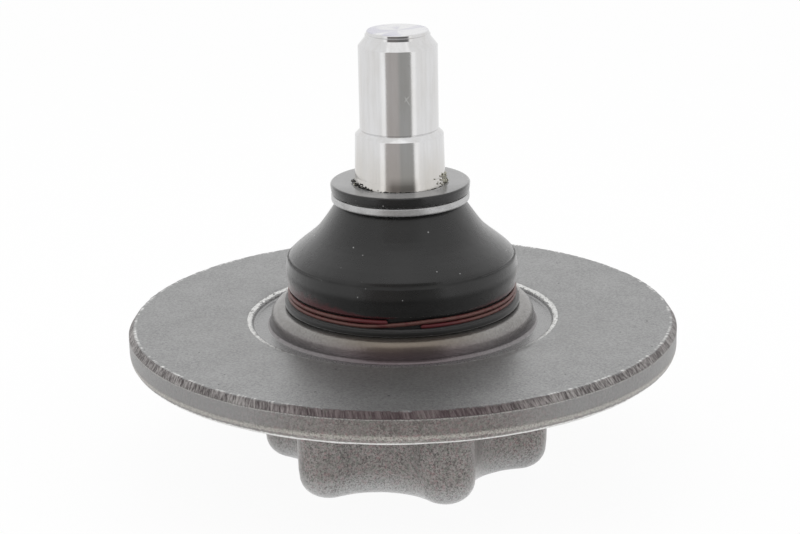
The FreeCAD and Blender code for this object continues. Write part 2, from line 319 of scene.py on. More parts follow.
def operator(operation: str, flip: bool = False) -> Callable[["Term", Any], "Term"]:
    """Make an operator of Term.

    Args:
        operation: What the Math node does.
        flip: Whether the other value comes first.

    Returns:
        The method.
    """
    def apply(self: "Term", other: Any) -> "Term":
        """Add the Math node."""
        return self.graph.maths(operation, *((other, self) if flip else (self, other)))

    return apply


class Term:
    """A value in a material: a node's output socket with Python's arithmetic."""

    def __init__(self, graph: "Graph", socket: bpy.types.NodeSocket | None) -> None:
        """Keep the socket and the graph that it belongs to."""
        self.graph = graph
        self.socket = socket

    __add__ = __radd__ = operator("ADD")
    __mul__ = __rmul__ = operator("MULTIPLY")
    __sub__ = operator("SUBTRACT")
    __rsub__ = operator("SUBTRACT", flip=True)
    __truediv__ = operator("DIVIDE")

    def __abs__(self) -> "Term":
        """Drop the sign."""
        return self.graph.maths("ABSOLUTE", self)

    def rise(self, low: float, high: float) -> "Term":
        """Map smoothly to 0 at low and 1 at high; low may be above high."""
        flip = low > high
        first, second = (high, low) if flip else (low, high)
        out = self.graph.add("ShaderNodeMapRange", {"interpolation_type": "SMOOTHSTEP"},
                             {"Value": self, "From Min": first, "From Max": second})
        return 1 - out if flip else out

    def between(self, low: float, high: float, edge: float) -> "Term":
        """Map to 1 from low to high and to 0 outside, with soft edges of a width."""
        return self.rise(low - edge, low + edge) * self.rise(high + edge, high - edge)


class Graph:
    """The node tree of a material or of the world, and the ways to add to it."""

    def __init__(self, tree: bpy.types.NodeTree) -> None:
        """Empty the tree."""
        self.tree = tree
        tree.nodes.clear()

    def add(self, kind: str, settings: dict[str, Any] | None = None, sockets: dict[Any, Any] | None = None,
            output: Any = 0) -> Term:
        """Add one node.

        Args:
            kind: Type name of the node.
            settings: Properties, set first; stops are a ramp's (position, colour) pairs.
            sockets: Values or terms for inputs, by name or number.
            output: Name or number of the output that is wanted.

        Returns:
            That output.
        """
        node = self.tree.nodes.new(kind)
        for name, value in (settings or {}).items():
            if name == "stops":
                self._set_stops(node.color_ramp, value)
            else:
                setattr(node, name, value)
        for key, value in (sockets or {}).items():
            if isinstance(value, Term):
                self.tree.links.new(value.socket, node.inputs[key])
            else:
                node.inputs[key].default_value = value
        return Term(self, node.outputs[output] if len(node.outputs) else None)

    def split(self, kind: str, sockets: dict[Any, Any] | None = None) -> list[Term]:
        """Add one node and give all its outputs."""
        outputs = self.add(kind, None, sockets).socket.node.outputs
        return [Term(self, socket) for socket in outputs]

    @staticmethod
    def _set_stops(ramp: bpy.types.ColorRamp, stops: tuple[tuple[float, Colour], ...]) -> None:
        """Give a colour ramp its stops."""
        while len(ramp.elements) < len(stops):
            ramp.elements.new(1.0)
        for element, (position, colour) in zip(ramp.elements, stops):
            element.position = position
            element.color = colour

    def maths(self, operation: str, *values: Any) -> Term:
        """Add a Math node with values in its sockets in order."""
        return self.add("ShaderNodeMath", {"operation": operation}, dict(enumerate(values)))

    def mix(self, first: Any, second: Any, factor: Any) -> Term:
        """Blend two colours by a factor."""
        return self.add("ShaderNodeMix", {"data_type": "RGBA"}, {0: factor, 6: first, 7: second}, 2)

    def vector(self, x: Any, y: Any, z: Any) -> Term:
        """Join three values into a vector."""
        return self.add("ShaderNodeCombineXYZ", None, {0: x, 1: y, 2: z})

    def layers(self, base: Any, *coats: tuple[Any, Any]) -> Any:
        """Lay colours over a base in order, each by its own factor."""
        for colour, factor in coats:
            base = self.mix(base, colour, factor)
        return base

    def noise(self, place: Term, scale: float, detail: float = 2.0, roughness: float = 0.5) -> Term:
        """Noise from 0 to 1, about 0.5."""
        return self.add("ShaderNodeTexNoise", None, {
            "Vector": place, "Scale": scale, "Detail": detail, "Roughness": roughness})

    def cells(self, place: Term, scale: float) -> Term:
        """Distance from the nearest of random points."""
        sockets = {"Vector": place, "Scale": scale}
        return self.add("ShaderNodeTexVoronoi", {"feature": "F1"}, sockets, "Distance")

    def attribute(self, name: str) -> Term:
        """Number that the mesh keeps per vertex."""
        return self.add("ShaderNodeAttribute", {"attribute_name": name}, None, "Fac")

    def ramp(self, factor: Term, stops: tuple[tuple[float, Colour], ...]) -> Term:
        """Colour by a factor along stops."""
        return self.add("ShaderNodeValToRGB", {"stops": stops}, {0: factor})

    def relief(self, *waves: tuple[Term, float]) -> Term:
        """Normals of reliefs laid over each other: each height of 1 stands its depth in mm over height 0."""
        sockets: dict[str, Any] = {"Strength": 1.0}
        for height, depth in waves:
            sockets |= {"Height": height, "Distance": depth * MM}
            sockets["Normal"] = self.add("ShaderNodeBump", None, sockets)
        return sockets["Normal"]


@dataclass
class Place:
    """Where a shaded point is, in millimetres: its Object coordinates, and its distance r from the Z axis."""

    graph: Graph
    point: Term = field(init=False)
    x: Term = field(init=False)
    y: Term = field(init=False)
    z: Term = field(init=False)
    r: Term = field(init=False)

    def __post_init__(self) -> None:
        """Read Object coordinates and work the others out."""
        g = self.graph
        metres = g.add("ShaderNodeTexCoord", output="Object")
        self.point = g.add("ShaderNodeVectorMath", {"operation": "SCALE"}, {0: metres, "Scale": 1 / MM})
        self.x, self.y, self.z = g.split("ShaderNodeSeparateXYZ", {0: self.point})
        self.r = g.maths("SQRT", self.x * self.x + self.y * self.y)


def rgb(red: float, green: float, blue: float) -> Colour:
    """Turn a colour as a screen shows it, from 0 to 255, into a linear one."""
    return tuple(((c / 255 + 0.055) / 1.055) ** 2.4 for c in (red, green, blue)) + (1.0,)


def shade(colour: Colour, share: float) -> Colour:
    """Scale a colour's brightness."""
    return tuple(min(share * c, 1.0) for c in colour[:3]) + (1.0,)


def new_graph(name: str) -> tuple[bpy.types.Material, Graph]:
    """Make a material with an empty tree."""
    material = bpy.data.materials.new(name)
    material.use_nodes = True
    return material, Graph(material.node_tree)


# ---- finishes ----


class Finish:
    """A finish: what feeds the sockets of its one Principled shader."""

    name: str

    def sockets(self, g: Graph, at: Place) -> dict[str, Any]:
        """Work out the values and terms for the shader's sockets.

        Args:
            g: Tree of the material.
            at: Place of the shaded point.

        Returns:
            Values and terms by socket name.
        """
        raise NotImplementedError

    def material(self) -> bpy.types.Material:
        """Build the material.

        Returns:
            The finished material.
        """
        material, g = new_graph(self.name)
        shader = g.add("ShaderNodeBsdfPrincipled", {"label": self.name}, self.sockets(g, Place(g)))
        g.add("ShaderNodeOutputMaterial", None, {0: shader})
        return material


@dataclass(frozen=True)
class ForgedSkin(Finish):
    """Shot-blasted forging with a sheared trim band, a machined recess and a heat-tinted rolled rim."""

    name: str = "forged_skin"
    disc: Colour = rgb(150, 150, 150)
    stain: Colour = rgb(60, 60, 60)
    hub: Colour = rgb(165, 160, 157)
    hub_dark: Colour = rgb(92, 86, 84)
    scale_red: Colour = rgb(152, 122, 124)
    scale_green: Colour = rgb(122, 131, 120)
    pit: Colour = rgb(58, 50, 47)
    # dark colour under the flange: painted shade, broken by dark specks
    grain: Colour = rgb(46, 41, 38)
    # painted floor light: the pale colour laid on the hub's lower rounding, as if the floor lit it from below
    blasted: Colour = rgb(196, 198, 199)
    rim: Colour = rgb(126, 121, 119)
    pale: Colour = rgb(200, 197, 190)
    band: Colour = rgb(70, 58, 61)
    band_light: Colour = rgb(150, 139, 139)
    # painted side light: the trim band's colours at its left and right, paler and greyer where it faces the
    # side lamps
    band_side_lit: Colour = rgb(92, 88, 88)
    band_light_side_lit: Colour = rgb(178, 176, 174)
    burr: Colour = rgb(244, 244, 242)
    recess: Colour = rgb(158, 158, 158)
    heat: tuple[tuple[float, Colour], ...] = (
        (0.00, rgb(108, 100, 102)), (0.14, rgb(98, 86, 90)), (0.34, rgb(94, 79, 83)), (0.58, rgb(98, 84, 82)),
        (0.78, rgb(112, 101, 90)), (0.90, rgb(122, 112, 100)), (0.98, rgb(140, 132, 124)))
    heat_height: float = 5.2
    flange_r: float = 61.0
    flange_top: float = 34.6
    flange_bottom: float = 27.1
    band_low: float = 33.1
    band_r: tuple[float, float] = (59.72, 60.0)
    torn_r: tuple[float, float] = (59.35, 59.95)
    rim_r: tuple[float, float] = (57.8, 58.6)
    boss_r: float = 30.1
    recess_r: float = 33.6
    burr_r: tuple[float, float] = (33.65, 34.7)

    def sockets(self, g: Graph, at: Place) -> dict[str, Any]:
        """Colour the disc, the hub, the trim band, the recess, its burr and the boss, in that order."""
        top, low = self.flange_top, self.flange_bottom
        fine, grit, patch, hue, pits, crumble = (g.noise(at.point, *grain) for grain in (
            (3.1, 3.0, 0.7), (1.7, 3.0, 0.65), (0.12, 3.0, 0.55), (1.3, 3.0, 0.7), (1.45, 4.0, 0.75),
            (1.3, 4.0, 0.75)))
        speckle = (fine - 0.5) * 1.5 + (grit - 0.5) * 1.3 + (patch - 0.5) * 0.4
        # painted side light: this mask grows towards the left and right of the camera's axis and pales the
        # band, the rim and the torn edge there
        side = (abs(at.x) / at.r).rise(0.15, 0.6)
        rim = at.r.rise(*self.rim_r)

        near = at.r.rise(54.0, 40.0) * at.y.rise(10.0, -12.0)
        stains = g.cells(at.point, 0.2).rise(0.07, 0.045) * patch.rise(0.46, 0.52)
        disc = g.layers(
            shade(self.disc, 0.66),
            (shade(self.disc, 1.32), (speckle + 0.5).rise(0.0, 1.0)),
            (shade(self.disc, 0.3), pits.rise(0.63, 0.69) * 0.6),
            (self.pale, pits.rise(0.34, 0.29) * 0.45),
            (shade(self.disc, 0.5), fine.rise(0.56, 0.66) * near * 0.6),
            (self.pale, fine.rise(0.42, 0.34) * near * 0.5),
            (self.stain, stains * 0.8))

        on_hub = at.z.rise(self.band_low + 0.1, self.band_low - 0.5)
        under = at.z.rise(low - 0.1, low - 0.7)
        rough_patch = 0.85 + g.noise(at.point, 0.16, 2.0, 0.5).rise(0.4, 0.6) * 0.8
        # painted floor light: the hub is painted paler towards its bottom, as if lit by the floor
        painted_floor_light = (at.z + (patch - 0.5) * 2.0).rise(8.0, 1.5)
        # rim colour on the hub's upper rim, with painted side light: disc colour at the left and right
        rim_tone_and_side_light = rim * (at.z.rise(low + 2.4, low + 3.2) * 0.3 + side * 0.5)
        # pale flecks on the rim's lower part: rubbing marks, and a painted highlight along that edge
        rubbed_highlight = (at.z + (grit - 0.5) * 0.9).between(low + 1.6, low + 2.45, 0.25) * rim
        hub = g.layers(
            self.hub_dark,
            (self.hub, (speckle * rough_patch + 0.53).rise(0.05, 0.95)),
            (self.scale_red, hue.rise(0.55, 0.63) * 0.65),
            (self.scale_green, hue.rise(0.45, 0.38) * 0.6),
            (self.pale, pits.rise(0.35, 0.28) * 0.8),
            (self.pit, pits.rise(0.64, 0.70) * 0.7),
            # painted shade: the hub darker under the flange overhang, with dark grit specks
            (self.grain, under * (0.13 + 0.42 * (grit * 0.5 + fine * 0.5).rise(0.5, 0.41))),
            (self.blasted, painted_floor_light * (0.25 + 0.5 * fine.rise(0.4, 0.6))),
            (g.mix(self.rim, self.disc, side), rim_tone_and_side_light),
            (self.pale, rubbed_highlight * (0.25 + 0.55 * fine.rise(0.4, 0.6))))

        along = g.vector(at.x / at.r * self.flange_r + at.z * 0.35, at.y / at.r * self.flange_r, at.z * 0.12)
        streak = g.noise(along, 2.3, 3.0, 0.75)
        coarse = g.noise(along, 0.35, 2.0, 0.6)
        # the band's streaks, painted stronger and paler at the sides as side light
        comb = (streak - 0.5) * (0.4 + 0.75 * side) + 0.48 + side * 0.03
        band = g.layers(
            g.mix(self.band, self.band_side_lit, side * 0.75),
            (g.mix(self.band_light, self.band_light_side_lit, side * 0.75),
             (comb * 0.9 + coarse * 0.25).rise(0.45, 0.76)),
            (self.scale_green, hue.rise(0.56, 0.68) * 0.25))
        ragged = (coarse - 0.5) * 0.5 + (streak - 0.5) * 0.9
        in_band = (at.z + ragged * 0.35).rise(self.band_low - 0.12, self.band_low + 0.1) * (
            at.r + ragged * 0.9).rise(*self.band_r)
        torn = (at.r + ragged * 0.7).between(*self.torn_r, 0.15) * at.z.rise(top - 0.5, top - 0.3)
        # painted highlight: a pale ragged line along the trim band's lower corner
        torn_edge_highlight = (at.z + ragged * 0.3).between(self.band_low - 0.24, self.band_low - 0.02, 0.08) * rim
        # painted highlight: the real flash ridge under the rim, painted near-white as if lit by the floor
        # below
        flash = (at.z - side * 0.35 + (grit - 0.5) * (0.4 + side)).rise(low + 0.8, low + 0.62) * rim

        inner = at.r.rise(self.recess_r + 0.1, self.recess_r - 0.1) * at.z.rise(top - 2.2, top - 2.0)
        # the burr is real; its near-white glints are painted, and fade on the side that faces the camera
        facing = (at.y + (grit - 0.5) * 6).rise(-24.0, -13.0)
        burr = (at.r + (crumble - 0.5) * 1.3).between(*self.burr_r, 0.1) * at.z.rise(
            top - 1.0, top - 0.7) * (0.15 + 0.85 * facing)
        on_boss = at.r.rise(self.boss_r + 0.1, self.boss_r - 0.1) * at.z.rise(top - 2.0, top - 1.6)
        # painted side light: the boss's heat tint fades to disc colour at its left and right flanks
        lit_flank = (abs(at.x) / at.r).rise(0.12, 0.8)
        heat = g.ramp((at.z + (patch - 0.5) * 0.9 - (top - 1.6)) / self.heat_height, self.heat)
        tint = g.mix(heat, disc, 0.12 + lit_flank * (0.42 + 0.2 * at.z.rise(top + 0.8, top + 2.6)))

        colour = g.layers(
            disc,
            (hub, on_hub),
            (band, in_band),
            (self.pale, torn_edge_highlight * fine.rise(0.42, 0.56) * 0.5),
            # the torn edge's white fringe, painted brighter at the sides as glints
            (self.burr, torn * streak.rise(0.48, 0.56) * coarse.rise(0.44, 0.54) * (0.12 + 0.75 * side)),
            (self.burr, flash * fine.rise(0.30, 0.48) * 0.9),
            (g.mix(self.recess, disc, 0.3), inner),
            (self.burr, burr * crumble.rise(0.38, 0.48)),
            (tint, on_boss))
        rough = 0.34 + (fine - 0.5) * 0.16 + on_hub * 0.02 - on_boss * 0.06 - inner * 0.06 + in_band * 0.14
        relief = g.relief((grit * 0.6 + fine * 0.4, 0.06), (pits * on_hub, 0.28), (streak * in_band, 0.3),
                          (crumble * burr, 0.4))
        return {"Base Color": colour, "Metallic": 0.85 - on_hub * 0.1 - flash * 0.4, "Roughness": rough,
                "Normal": relief, "Coat Weight": under * 0.75, "Coat Roughness": 0.3}


@dataclass(frozen=True)
class StudSteel(Finish):
    """Bright steel turned fine, with faint tool marks, a few scuffs and a scratch, and painted reflections in
    front: a dark one at the shank's foot and dark bars on the tip.
    """

    name: str = "stud_steel"
    steel: Colour = rgb(224, 224, 225)
    worn: Colour = rgb(196, 190, 180)
    drawn: Colour = rgb(186, 184, 180)
    scuffed: Colour = rgb(150, 146, 138)
    # painted reflection: the dark boot collar mirrored in the shank's foot
    collar_reflection: Colour = rgb(110, 106, 102)
    scratch: Colour = rgb(255, 255, 255)
    # painted reflection: dark bars mirrored in the tip's chamfer
    reflected_bar: Colour = rgb(128, 127, 130)
    end_tints: tuple[Colour, Colour] = (rgb(212, 211, 222), rgb(236, 236, 237))
    step_z: float = 76.4
    collar_z: float = 65.7
    scratch_x: float = 1.8
    scratch_z: float = 85.4
    lower_bar: tuple[float, float] = (97.9, 98.42)
    upper_bar: tuple[float, float] = (98.6, 99.0)
    end_z: tuple[float, float] = (99.05, 99.25)

    def sockets(self, g: Graph, at: Place) -> dict[str, Any]:
        """Lay smudges, marks and painted reflections over the steel, and tint the faced end in wedges."""
        rings = g.noise(g.vector(at.r * 0.05, 0.0, at.z), 5.0, 3.0, 0.7)
        facing = g.noise(g.vector(at.r, 0.0, 0.0), 4.0, 3.0, 0.7)
        smudge = g.noise(g.vector(at.x, at.y, at.z * 0.35), 0.22, 3.0, 0.6)
        scuff = g.noise(g.vector(at.x * 2.0, at.y * 2.0, at.z * 0.4), 1.4, 4.0, 0.75)
        drawn = g.noise(g.vector(at.x, at.y, at.z * 0.06), 1.1, 3.0, 0.6)
        wedge = g.noise(g.vector(at.x / at.r * 0.8, at.y / at.r * 0.8, at.r * 0.05), 1.3, 2.0, 0.5)
        low = at.z.rise(self.step_z + 0.3, self.collar_z)
        front = at.y.rise(-2.0, -5.0)
        # painted reflection of the boot's dark collar at the shank's foot, on the front only
        collar_reflection = at.z.rise(self.collar_z + 3.6, self.collar_z + 0.4) * at.x.between(-2.4, 3.4, 0.9)
        across, above = at.x - self.scratch_x, at.z - self.scratch_z
        strokes = abs(across * 1.8 + above).rise(0.22, 0.08) + abs(across * 1.2 - above + 0.5).rise(0.2, 0.06)
        crossing = strokes * abs(above).rise(1.2, 0.7) * abs(across).rise(0.7, 0.4)
        # painted reflection: two dark bars on the tip, at the front centre only
        reflected_bars = at.z.between(*self.lower_bar, 0.05) + at.z.between(*self.upper_bar, 0.05)
        end = at.z.rise(*self.end_z)
        colour = g.layers(
            self.steel,
            (self.worn, (smudge - 0.32).rise(0.0, 0.5) * 0.25 + low * 0.45),
            (self.drawn, drawn.rise(0.42, 0.66) * 0.14),
            (self.scuffed, scuff.rise(0.66, 0.74) * 0.35),
            (self.collar_reflection, collar_reflection * front * 0.75),
            (self.scratch, crossing * front),
            (self.reflected_bar, reflected_bars * at.x.between(-2.2, 2.4, 0.2) * front * 0.8),
            (g.mix(*self.end_tints, wedge.rise(0.42, 0.60)), end))
        rough = 0.11 + (rings - 0.5) * 0.12 + (smudge - 0.5) * 0.08 + end * 0.1
        relief = g.relief((rings * (1 - end) + facing * end, 0.012))
        return {"Base Color": colour, "Metallic": 1.0, "Roughness": rough, "Normal": relief}


@dataclass(frozen=True)
class BootRubber(Finish):
    """Black moulded rubber with a dull bloom, dust specks and red lacquer rubbed off the clamp wire."""

    name: str = "boot_rubber"
    black: Colour = rgb(13, 13, 13)
    bloom: Colour = rgb(23, 23, 23)
    dust: Colour = rgb(200, 200, 200)
    seam: Colour = rgb(8, 8, 8)
    lip: Colour = rgb(12, 13, 12)
    lacquer: Colour = rgb(66, 15, 21)
    groove_top: float = 42.25
    groove_floor: float = 39.35
    smear_r: tuple[float, float] = (23.0, 23.6)
    collar_z: tuple[float, float] = (65.0, 65.5)

    def sockets(self, g: Graph, at: Place) -> dict[str, Any]:
        """Cloud the black, speckle it with dust, and smear lacquer over the band's foot left and right."""
        fine = g.noise(at.point, 5.0, 3.0, 0.6)
        cloud = g.noise(at.point, 0.16, 3.0, 0.55)
        dust = g.cells(at.point, 0.42).rise(0.085, 0.05) * g.noise(at.point, 0.3, 1.0).rise(0.45, 0.52)
        seam = g.attribute("seam")
        blot = g.noise(g.vector(at.x, at.y, at.z * 1.6), 0.8, 4.0, 0.7)
        left = at.x.rise(-6.0, -23.0)
        right = at.x.rise(12.0, 21.0)
        height = (at.z - self.groove_top) / (0.35 + left * 3.2 + right * 1.5)
        smear = (blot * 1.1 - 0.02 - height * 0.62).rise(0.0, 0.4) * at.x.rise(-0.5, -3.5) + (
            blot * 1.1 - 0.12 - height * 0.75).rise(0.0, 0.4) * right
        on_band = at.z.rise(self.groove_top - 0.55, self.groove_top - 0.35) * at.y.rise(16.0, 8.0)
        on_band = on_band * at.r.rise(*self.smear_r)
        lip = at.z.rise(self.groove_floor + 0.5, self.groove_floor)
        collar = at.z.rise(*self.collar_z)
        colour = g.layers(
            self.black,
            (self.bloom, (cloud - 0.35).rise(0.0, 0.45) * 0.6 + (fine - 0.5) * 0.3),
            (self.dust, dust * (0.25 + 0.5 * fine)),
            (self.seam, seam),
            (self.lacquer, smear * on_band * 0.95),
            (self.lip, lip))
        rough = 0.28 + (cloud - 0.5) * 0.12 + (fine - 0.5) * 0.08 + lip * 0.15 - collar * 0.18 + seam * 0.5
        relief = g.relief((fine, 0.01), (g.noise(at.point, 0.5, 3.0, 0.6), 0.04))
        return {"Base Color": colour, "Metallic": 0.0, "Roughness": rough, "IOR": 1.49, "Normal": relief,
                "Sheen Weight": 0.85, "Sheen Roughness": 0.36,
                "Coat Weight": collar * at.y.rise(-9.0, -2.0) * 0.75, "Coat Roughness": 0.12}


@dataclass(frozen=True)
class WireLacquer(Finish):
    """Red lacquer on spring wire: thick at the cut ends, rubbed thin between them."""

    name: str = "wire_lacquer"
    thick: Colour = rgb(84, 20, 26)
    thin: Colour = rgb(98, 68, 62)

    def sockets(self, g: Graph, at: Place) -> dict[str, Any]:
        """Wear the lacquer away from the cut ends."""
        worn = g.noise(at.point, 0.8, 4.0, 0.7)
        bare = (worn - 0.3).rise(0.0, 0.22) * g.attribute("from_end").rise(5.0, 13.0)
        return {"Base Color": g.mix(self.thick, self.thin, bare * 0.85), "Metallic": bare * 0.25,
                "Roughness": 0.42 - bare * 0.1, "Normal": g.relief((g.noise(at.point, 4.0, 3.0, 0.6), 0.06))}


@dataclass(frozen=True)
class SatinFinish(Finish):
    """A plain satin surface with fine mottling: the light ring, the bearing and the closing ring."""

    name: str
    colour: Colour
    metal: float
    gloss: float
    mottle: float = 0.12
    grain: float = 3.0
    turned: bool = False

    def sockets(self, g: Graph, at: Place) -> dict[str, Any]:
        """Mottle the colour, in turned rings where the piece is turned."""
        fine = g.noise(g.vector(at.r, 0.0, at.z) if self.turned else at.point, self.grain, 3.0, 0.6)
        cloud = g.noise(at.point, 0.25, 3.0, 0.6)
        dark = shade(self.colour, 1 - 2.5 * self.mottle)
        return {"Base Color": g.mix(self.colour, dark, (fine * 0.5 + cloud * 0.5).rise(0.35, 0.7)),
                "Metallic": self.metal, "Roughness": (1 - self.gloss) + (fine - 0.5) * 0.15,
                "Normal": g.relief((fine, 0.03))}


@dataclass(frozen=True)
class Crumbs(Finish):
    """Grease and rubber crumbs: black bits with few pale ones, and a grey-green cluster on the right."""

    name: str
    pale: Colour
    dark: Colour
    black: Colour = rgb(20, 20, 19)
    cluster_x: tuple[float, float] = (4.5, 7.5)

    def sockets(self, g: Graph, at: Place) -> dict[str, Any]:
        """Pick pale and dark bits by noise."""
        bits = g.noise(at.point, 1.3, 2.0, 0.5)
        colour = g.mix(g.mix(self.black, self.pale, bits.rise(0.60, 0.64)),
                       g.mix(self.dark, self.pale, bits.rise(0.36, 0.52)), at.x.rise(*self.cluster_x))
        return {"Base Color": colour, "Metallic": 0.0, "Roughness": 0.5 + (bits - 0.5) * 0.3,
                "Normal": g.relief((g.noise(at.point, 6.0, 2.0), 0.06))}


# ---- pieces ----


def dress(piece: bpy.types.Object, material: bpy.types.Material, slot: Slot, body: Body | None,
          *nodes: str) -> bpy.types.Object:
    """Give a piece its material and body, and hide the nodes that it stands for.

    Args:
        piece: Finished piece.
        material: Material of all its faces.
        slot: Not used.
        body: Body that it rides on, or None.
        nodes: CAD nodes that it replaces.

    Returns:
        The same piece.
    """
    piece.data.materials.clear()
    piece.data.materials.append(material)
    if nodes:
        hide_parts(*nodes)
    if body is not None:
        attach(piece, body.value)
    LOG.info("%s: %d faces", piece.name, len(piece.data.polygons))
    return piece


@dataclass
class Housing:
    """The forging: lobed hub, disc flange with its trim band, recess, and boss with the rolled rim."""

    columns: int = 640
    arc_rows: int = 8
    side_rows: int = 16
    underside_rows: int = 8
    bottom_shares: tuple[float, ...] = (0.04, 0.3, 0.6, 0.85)
    lobes: int = 6
    tip_r: float = 32.3
    valley_r: float = 24.0
    lobe_r: float = 6.7
    lobe_turn: float = 19.5
    hub_height: float = 27.1
    hub_growth: float = 0.57
    edge_r: float = 5.0
    root_r: float = 2.0
    flange_r: float = 61.0
    flange_top: float = 34.6
    corner_r: float = 3.0
    corner_run: float = 5.0
    trim_height: float = 1.5
    trim_taper: float = 1.0
    burr_out: float = 34.8
    burr_r: float = 34.15
    burr_rise: float = 0.34
    recess_r: float = 33.6
    recess_lean: float = 0.3
    recess_foot_r: float = 0.5
    recess_depth: float = 1.2
    boss_r: float = 29.5
    boss_taper: float = 0.5
    boss_foot_r: float = 0.9
    boss_round_r: float = 2.5
    boss_height: float = 3.4
    roll_inner_r: float = 23.4
    roll_nose_r: float = 0.4
    roll_thickness: float = 1.1
    seat_r: float = 24.83
    seat_z: float = 34.5
    bore_r: float = 18.23
    floor_z: float = 8.6
    floor_corner_r: float = 5.0
    axis_gap: float = 0.5
    blasted: float = 0.14
    bottom_blasted: float = 0.05
    skin_cells: tuple[float, float] = (6.0, 2.2)
    grit_cell: float = 0.8
    bites: int = 360
    bite_depth: float = 0.18
    chips: int = 140
    chip_depth: float = 0.16
    lumps: int = 90
    flash_out: float = 0.10
    lump_out: float = 0.16
    seed: int = 61

    def lobed(self, angle: Array, growth: Array, z: Array) -> Array:
        """Rows of the hub's outline, grown along its normals.

        Within half a pitch of a lobe's middle the outline is the lobe's arc or the tangent valley arc,
        whichever the polar angle meets.

        Args:
            angle: Angles of the columns.
            growth: Growth of each row, negative for an inset.
            z: Height of each row.

        Returns:
            Points as (rows, columns, 3).
        """
        half_pitch = math.pi / self.lobes
        tip = self.tip_r - self.lobe_r
        reach = tip * math.cos(half_pitch)
        arc_r = (self.lobe_r ** 2 - tip ** 2 - self.valley_r ** 2 + 2 * self.valley_r * reach) / (
            2 * (self.valley_r - reach - self.lobe_r))
        valley = self.valley_r + arc_r
        middle = math.radians(self.lobe_turn - 90)
        nearest = np.round((angle - middle) / (2 * half_pitch)) * 2 * half_pitch + middle
        off = angle - nearest
        side = np.where(off < 0, -1.0, 1.0)
        lobe_centre = tip * heading(nearest)
        valley_centre = valley * heading(nearest + side * half_pitch)
        share = self.lobe_r / (self.lobe_r + arc_r)
        joint_off = math.atan2(share * valley * math.sin(half_pitch),
                               tip + share * (valley * math.cos(half_pitch) - tip))
        on_lobe = np.abs(off) <= joint_off
        lobe_reach = tip * np.cos(off) + np.sqrt(np.maximum(self.lobe_r ** 2 - (tip * np.sin(off)) ** 2, 0))
        away = half_pitch - np.abs(off)
        half_chord = np.sqrt(np.maximum(arc_r ** 2 - (valley * np.sin(away)) ** 2, 0))
        radius = np.where(on_lobe, lobe_reach, valley * np.cos(away) - half_chord)
        place = radius * heading(angle)
        normal = np.where(on_lobe, (place - lobe_centre) / self.lobe_r, (valley_centre - place) / arc_r)
        xy = place[None] + growth[:, None, None] * normal[None]
        return np.stack([xy[:, 0], xy[:, 1], np.broadcast_to(z[:, None], xy[:, 0].shape)], axis=-1)

    def hub_rows(self, angle: Array) -> Array:
        """Rows from the bottom's middle up the hub's side to its root under the flange.

        Args:
            angle: Angles of the columns.

        Returns:
            Points as (rows, columns, 3).
        """
        quarter = np.linspace(0, math.pi / 2, self.arc_rows)
        edge_growth = self.edge_r * (np.sin(quarter) - 1)
        edge = self.lobed(angle, edge_growth, self.edge_r * (1 - np.cos(quarter)))
        share = np.array(self.bottom_shares)[:, None, None]
        bottom = edge[:1] * np.concatenate([share, share, np.ones_like(share)], axis=-1)
        side_z = np.linspace(self.edge_r, self.hub_height - self.root_r, self.side_rows)[1:-1]
        side = self.lobed(angle, self.hub_growth * side_z / self.hub_height, side_z)
        root_growth = self.hub_growth + self.root_r * (1 - np.cos(quarter))
        root = self.lobed(angle, root_growth, self.hub_height + self.root_r * (np.sin(quarter) - 1))
        return np.concatenate([bottom, edge, side, root])

    def flange_rows(self, angle: Array) -> tuple[Array, Array]:
        """Rows from the flange's corner over its top and the rolled rim, down to the socket's floor.

        Args:
            angle: Angles of the columns.

        Returns:
            The rows, and how deep blasting has pitted each one.
        """
        top = self.flange_top
        boss_top = top + self.boss_height
        roll_low = boss_top - self.roll_thickness
        recess_z = top - self.recess_depth
        band_z = top - self.trim_height
        land_r = self.flange_r - self.trim_taper
        parts = (
            (0.12, profile([
                (self.flange_r - self.corner_run, self.hub_height),
                (self.flange_r, self.hub_height, self.corner_r),
                (self.flange_r, band_z),
            ], 7, 1.3)),
            (0.05, profile([(self.flange_r, band_z), (land_r, top)], 1, 0.32)[1:]),
            (0.05, profile([(land_r - 0.25, top), (self.burr_out + 0.1, top)], 1, 1.7)),
            (0.12, profile([(self.burr_out, top), (self.recess_r, top - 0.3)], 1, 0.25)),
            (0.0, profile([
                (self.recess_r - 0.1, top - 0.42),
                (self.recess_r - self.recess_lean, recess_z, self.recess_foot_r),
                (self.boss_r, recess_z, self.boss_foot_r),
                (self.boss_r - self.boss_taper, boss_top, self.boss_round_r),
                (self.roll_inner_r, boss_top, self.roll_nose_r),
                (self.roll_inner_r, roll_low),
                (self.seat_r, roll_low),
                (self.seat_r, self.seat_z),
                (self.bore_r, self.seat_z),
                (self.bore_r, self.floor_z, self.floor_corner_r),
                (self.axis_gap, self.floor_z),
            ], 9, 4.0)))
        rough = np.concatenate([np.full(len(part), depth) for depth, part in parts])
        return turned(np.concatenate([part for _, part in parts]), len(angle)), rough

